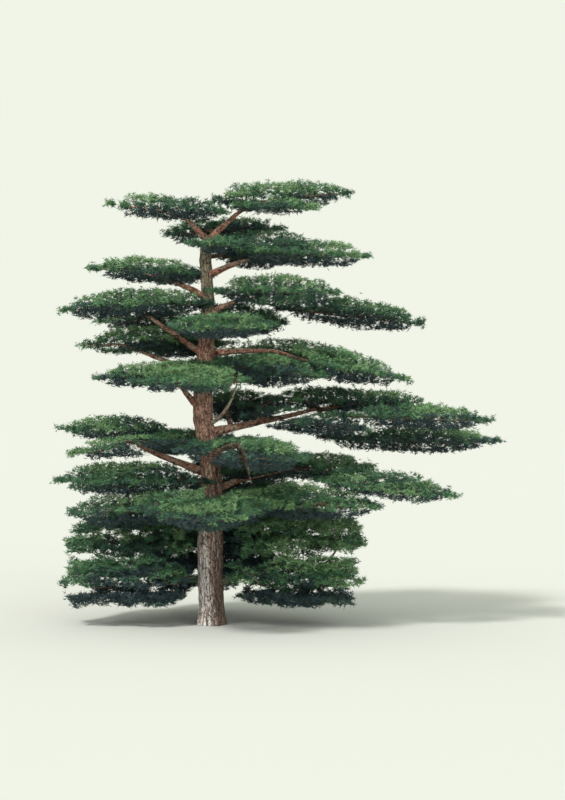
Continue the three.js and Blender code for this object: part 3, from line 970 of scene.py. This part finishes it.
# %% Joining them up
WAY_BACK_SHARE = 0.3
LEVEL_PULL = 2.2  # how much further a step upwards counts than a level one
WOOD_GAP = 0.2  # between the places on a limb where a twig may start


def wood_in(mass):
    """Places along the limbs of a mass."""
    wood = []
    for rows in carriers[mass]:
        length = np.linalg.norm(np.diff(rows[:, :3], axis=0), axis=1).sum()
        at = np.linspace(0, len(rows) - 1, max(2, int(length / WOOD_GAP)))
        wood.append(np.column_stack([np.interp(at, np.arange(len(rows)), rows[:, k]) for k in range(3)]))
    return np.vstack(wood)


def join_up(points, wood):
    """Each point's parent, which is a point or, below 0, a place on the limbs, and the order they join in."""
    stretch = np.array([1, 1, LEVEL_PULL])
    spots = points * stretch
    gaps = np.linalg.norm(spots[:, None] - (wood * stretch)[None], axis=2)
    parent = -1 - gaps.argmin(1)
    cost = gaps.min(1)
    step = cost.copy()
    way = np.zeros(len(points))
    waiting = np.ones(len(points), bool)
    order = []
    for _ in range(len(points)):
        k = int(np.where(waiting, cost, np.inf).argmin())
        waiting[k] = False
        order.append(k)
        way[k] = step[k] + (way[parent[k]] if parent[k] >= 0 else 0)
        gap = np.linalg.norm(spots - spots[k], axis=1)
        offer = gap + WAY_BACK_SHARE * way[k]
        better = waiting & (offer < cost)
        cost[better] = offer[better]
        step[better] = gap[better]
        parent[better] = k
    return parent, order


def grow_twigs(mass, points, levels):
    """Twig segments as rows: from, to, the number of tips carried, and the level of the far end."""
    wood = wood_in(mass)
    parent, order = join_up(points, wood)
    is_tip = np.bincount(parent[parent >= 0], minlength=len(points)) == 0
    carried = is_tip.astype(float)
    for k in reversed(order):
        if parent[k] >= 0:
            carried[parent[k]] += carried[k]
    on_limb = wood[np.maximum(-1 - parent, 0)]
    starts = np.where((parent >= 0)[:, None], points[np.maximum(parent, 0)], on_limb)
    return np.column_stack([starts, points, carried, levels])


twigs = {name: grow_twigs(name, points, levels) for name, (points, levels) in growing.items()}
print("twig segments:", sum(len(rows) for rows in twigs.values()))

# %% [markdown]
# A twig segment is a slim prism of three sides, which is enough at two centimetres thick. All of them are
# made in one go from arrays: a frame of two directions across each segment, three corners at each end, and
# three faces between them.

# %% Twig mesh
TWIG_RADIUS = 0.0065  # of a twig that carries one tip
TWIG_THICKEST = 5.5  # how many times thicker it gets at most, with the square root of its tips
TWIG_SIDES = 3


def mesh_from(name, corners, faces, materials, tones=None):
    """A mesh object from arrays of corners and of faces that all have the same number of corners."""
    mesh = bpy.data.meshes.new(name)
    per = faces.shape[1]
    mesh.vertices.add(len(corners))
    mesh.vertices.foreach_set("co", corners.astype(np.float32).ravel())
    mesh.loops.add(faces.size)
    mesh.loops.foreach_set("vertex_index", faces.astype(np.int32).ravel())
    mesh.polygons.add(len(faces))
    mesh.polygons.foreach_set("loop_start", np.arange(0, faces.size, per, dtype=np.int32))
    for material in materials:
        mesh.materials.append(material)
    if tones is not None:
        mesh.polygons.foreach_set("material_index", tones.astype(np.int32))
    mesh.update(calc_edges=True)
    piece = bpy.data.objects.new(name, mesh)
    bpy.context.collection.objects.link(piece)
    return piece


def across(direction):
    """Two directions square to each of an array of directions."""
    helper = np.where(np.abs(direction[:, 2:3]) > 0.9, [[1.0, 0, 0]], [[0, 0, 1.0]])
    first = np.cross(direction, helper)
    first /= np.maximum(np.linalg.norm(first, axis=1, keepdims=True), 1e-9)
    return first, np.cross(direction, first)


def twig_mesh(name, rows):
    start, end = rows[:, :3], rows[:, 3:6]
    run = end - start
    length = np.linalg.norm(run, axis=1, keepdims=True)
    run = run / np.maximum(length, 1e-6)
    first, second = across(run)
    radius = TWIG_RADIUS * np.minimum(np.sqrt(rows[:, 6:7]), TWIG_THICKEST)
    corners = []
    for spot, thick in ((start - run * radius, radius * 1.12), (end, radius * 0.92)):
        for k in range(TWIG_SIDES):
            turn = 2 * math.pi * k / TWIG_SIDES
            corners.append(spot + thick * (math.cos(turn) * first + math.sin(turn) * second))
    corners = np.stack(corners, axis=1).reshape(-1, 3)
    base = np.arange(len(rows))[:, None] * 2 * TWIG_SIDES
    faces = []
    for k in range(TWIG_SIDES):
        after = (k + 1) % TWIG_SIDES
        faces.append(np.hstack([base + k, base + after, base + TWIG_SIDES + after, base + TWIG_SIDES + k]))
    return mesh_from(name, corners, np.vstack(faces), [twig_bark])


# %% [markdown]
# ## Sprays of needles
#
# Short shoots stand off each twig segment to both sides, all nearly level, which is what makes a cedar's
# foliage lie in plates. Each ends in a rosette: a ring of needles that spread out and up from one point. A
# needle is a slim triangle, wide at its foot. They are a few times larger than life, so that a million of
# them cover what tens of millions do on the tree.
#
# A spray, which is all the rosettes of one segment, is dealt one tone. The needles' own tone changes in
# drifts that lie level, like the layers of the foliage. Light is painted on too: a spray is paler towards the
# top of its mass and further out from the trunk, and painted shade makes it darker low down, near the trunk
# and at the back. Some masses as a whole get more painted shade, or more painted light, than the rest.

# %% Tones of the sprays
DRIFT_SHARE, PATCH_SHARE, REACH_SHARE = 0.8, 0.35, 0.3  # of the wide drifts, the small patches and the rim
DRIFT_FINE, PATCH_FINE = np.array([0.42, 0.42, 2.4]), np.array([1.3, 1.3, 4.1])  # both lie flat
PATCH_FROM = np.array([9.0, 0.0, 0.0])  # so that the patches aren't the drifts made small
TONE_SPREAD = 0.06
TONE_STEPS = (0.34, 0.62, 0.98)  # a value under the first gets the painted shade tone, and one over the last the painted light tone
# painted shade on the masses at the back
BACK_DARKER = 0.16
# How much painted shade a mass gets as a whole, or below 0 painted light. The first of these that its name
# starts with counts.
DARKER = {"tenth_right_inner": 0.3, "tenth": 0.1, "eleventh_front": 0.2, "eleventh": 0.06, "twelfth": 0.1,
          "thirteenth_right_outer": 0.04, "thirteenth": -0.16, "third": 0.08, "lower_front": 0.1,
          "fifth_right_outer": 0.12, "sixth_front": 0.05, "seventh_left": -0.22, "ninth_front": -0.05,
          "crown": -0.04, "top": -0.04, "fifth_right": -0.04, "skirt_right": -0.08, "skirt": 0.16}


def spray_tones(rows, mass):
    """The tone of each spray of a mass, from 0, palest and painted light, to 3, darkest and painted shade."""
    out = np.linalg.norm(rows[:, 3:5] - trunk_middle(rows[:, 5])[:, :2], axis=1)
    reach = (out - out.min()) / max(np.ptp(out), 0.1)
    drift = [drift_at(*(spot * DRIFT_FINE)) for spot in rows[:, 3:6]]
    patch = [drift_at(*(spot * PATCH_FINE + PATCH_FROM)) for spot in rows[:, 3:6]]
    shade = next((dark for start, dark in DARKER.items() if mass.startswith(start)), 0.0)
    shade += BACK_DARKER * mass.endswith("back")
    # painted light on the sprays high in their mass and painted shade on the low ones; drifts and patches are
    # the needles' own tone
    value = rows[:, 7] + DRIFT_SHARE * np.array(drift) + PATCH_SHARE * np.array(patch)
    # painted light further from the trunk, painted shade near it, and each mass's own painted shade
    value += REACH_SHARE * (reach - 0.5) - shade
    return 3 - np.digitize(value + dice.normal(0, TONE_SPREAD, len(rows)), TONE_STEPS)


# %% Shoots along the twigs
SHOOT_GAP = 0.044  # along a twig
SHOOT_REACH = 0.18
SHOOT_SWEEP = 0.6  # how far a shoot leans forward, along its twig, for each metre it stands off to the side
SHOOT_RISE, SHOOT_SPREAD = 0.01, 0.055  # how far shoots end above their twig


def shoots_on(rows):
    """The shoots of some twig segments: which segment each is on, its end, and which way its twig heads."""
    run = rows[:, 3:6] - rows[:, :3]
    length = np.linalg.norm(run, axis=1)
    counts = np.maximum(3, np.ceil(length / SHOOT_GAP)).astype(int)
    spray = np.repeat(np.arange(len(rows)), counts)
    total = len(spray)
    heading = (run / np.maximum(length, 1e-6)[:, None])[spray]
    foot = rows[spray, :3] + run[spray] * (dice.random(total) * 0.95 + 0.05)[:, None]
    sideways = np.cross(heading, [0, 0, 1.0])
    sideways /= np.maximum(np.linalg.norm(sideways, axis=1, keepdims=True), 1e-3)
    side = np.where(dice.random(total) < 0.5, -1, 1) * dice.uniform(0.1, 1.0, total) * SHOOT_REACH
    ends = foot + sideways * side[:, None] + heading * (SHOOT_SWEEP * np.abs(side))[:, None]
    ends[:, 2] += dice.normal(SHOOT_RISE, SHOOT_SPREAD, total)
    return spray, ends, heading


# %% Limbs that show
# How much of a bough shows from the front, from the trunk out.
SHOWN_BOUGHS = {"bough_eighth_right": 0.55, "bough_tenth_right": 0.55, "bough_thirteenth_right": 0.75,
                "bough_fifth_right": 0.4, "bough_eleventh_left": 0.5, "bough_ninth_left": 0.4,
                "bough_sixth_left": 0.4, "bough_third_right": 0.45, "leader_right": 0.42, "leader_left": 0.42}
CLEARANCE = 0.09  # of the rosettes from the side of a bough that shows


def hides_bough(ends):
    """Which rosettes stand before a limb that shows through the foliage."""
    shown = [rows[: int(len(rows) * SHOWN_BOUGHS[owner])] for owner, rows in limbs if owner in SHOWN_BOUGHS]
    hidden = np.zeros(len(ends), bool)
    for rows in shown + [droop, climb]:
        at = np.linspace(0, len(rows) - 1, 4 * len(rows))
        x, y, z, radius = (np.interp(at, np.arange(len(rows)), rows[:, k]) for k in range(4))
        near = np.hypot(ends[:, 0:1] - x, ends[:, 2:3] - z) < radius + CLEARANCE
        hidden |= (near & (ends[:, 1:2] < y)).any(1)
    return hidden


# %% Rosettes
def unit(vectors):
    return vectors / np.maximum(np.linalg.norm(vectors, axis=-1, keepdims=True), 1e-9)


NEEDLES_EACH = 5
NEEDLE_LENGTH, LENGTHS = 0.155, (0.8, 1.15)  # and how many times that each needle is
NEEDLE_WIDTH = 0.034
NEEDLE_RISE = (0.0, 0.75)  # how steeply needles stand up from the ring's plane
ROSETTE_SIZES, ROSETTE_TILT = (0.75, 1.2), 0.4
SKIRT_LARGER = 1.25  # in the lowest, thick masses, which are open inside


def rosettes(ends, heading, large):
    """The three corners of each needle of the rosettes at some shoots' ends."""
    total = len(ends)
    up = unit(np.array([0.0, 0.0, 0.8]) + heading * 0.4 + dice.normal(0, ROSETTE_TILT, (total, 3)))
    first, second = across(up)
    size = large * dice.uniform(*ROSETTE_SIZES, (total, 1, 1))
    turn = (np.arange(NEEDLES_EACH)[None] + dice.random((total, 1))) * 2 * math.pi / NEEDLES_EACH
    turn = turn + dice.normal(0, 0.18, turn.shape)
    rise = dice.uniform(*NEEDLE_RISE, turn.shape)[..., None]
    flat = np.cos(turn)[..., None] * first[:, None] + np.sin(turn)[..., None] * second[:, None]
    out = np.cos(rise) * flat + np.sin(rise) * up[:, None]
    wide = unit(np.cross(out, dice.normal(0, 1, out.shape))) * 0.5 * NEEDLE_WIDTH * size
    long = NEEDLE_LENGTH * size * dice.uniform(*LENGTHS, (*turn.shape, 1))
    base = ends[:, None] + out * 0.008
    return np.stack([base - wide, base + wide, ends[:, None] + out * long], axis=2).reshape(-1, 3)


# %% [markdown]
# ## The tiers
#
# The masses are made up tier by tier, from the top down: one piece of needles and one of twigs each. The
# needles stand for their masses, and the twigs come with them.

# %% Which masses are in which tier
TIERS = {
    "crown": ("crown", "top", "upper", "third"),
    "shoulder": ("fourth", "fifth"),
    "breast": ("sixth", "seventh"),
    "middle": ("eighth", "ninth"),
    "broad": ("tenth",),
    "waist": ("eleventh",),
    "hip": ("twelfth", "thirteenth"),
    "hem": ("lower",),
    "skirt_left": ("skirt_left",),
    "skirt_right": ("skirt_right",),
    "skirt_back": ("skirt_back",),
}
print("tiers:", len(TIERS))

# %% Needles and twigs of each tier
total_needles = 0
for tier, starts in TIERS.items():
    names = [name for name in mass_names if name.startswith(starts)]
    rows = np.vstack([twigs[name] for name in names])
    tones = np.concatenate([spray_tones(twigs[name], name) for name in names])
    spray, ends, heading = shoots_on(rows)
    clear = ~hides_bough(ends)
    corners = rosettes(ends[clear], heading[clear], SKIRT_LARGER if tier.startswith("skirt") else 1.0)
    tones = np.repeat(tones[spray[clear]], NEEDLES_EACH)
    faces = np.arange(len(corners)).reshape(-1, 3)
    needles = mesh_from(f"needles_{tier}", corners, faces, needle_materials, tones)
    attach(needles, "root")
    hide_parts(*names)
    wood = twig_mesh(f"twigs_{tier}", rows)
    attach(wood, "root")
    total_needles += len(tones)
    print(tier, "has", len(tones), "needles and", len(rows), "twig segments")
print("needles in all:", total_needles)

# %% [markdown]
# ## The end
#
# The empties only lent their space to the bark, and go. Needles may stand a little proud of the masses.

# %% Finish
for space in (tall_space, limb_space):
    bpy.data.objects.remove(space)
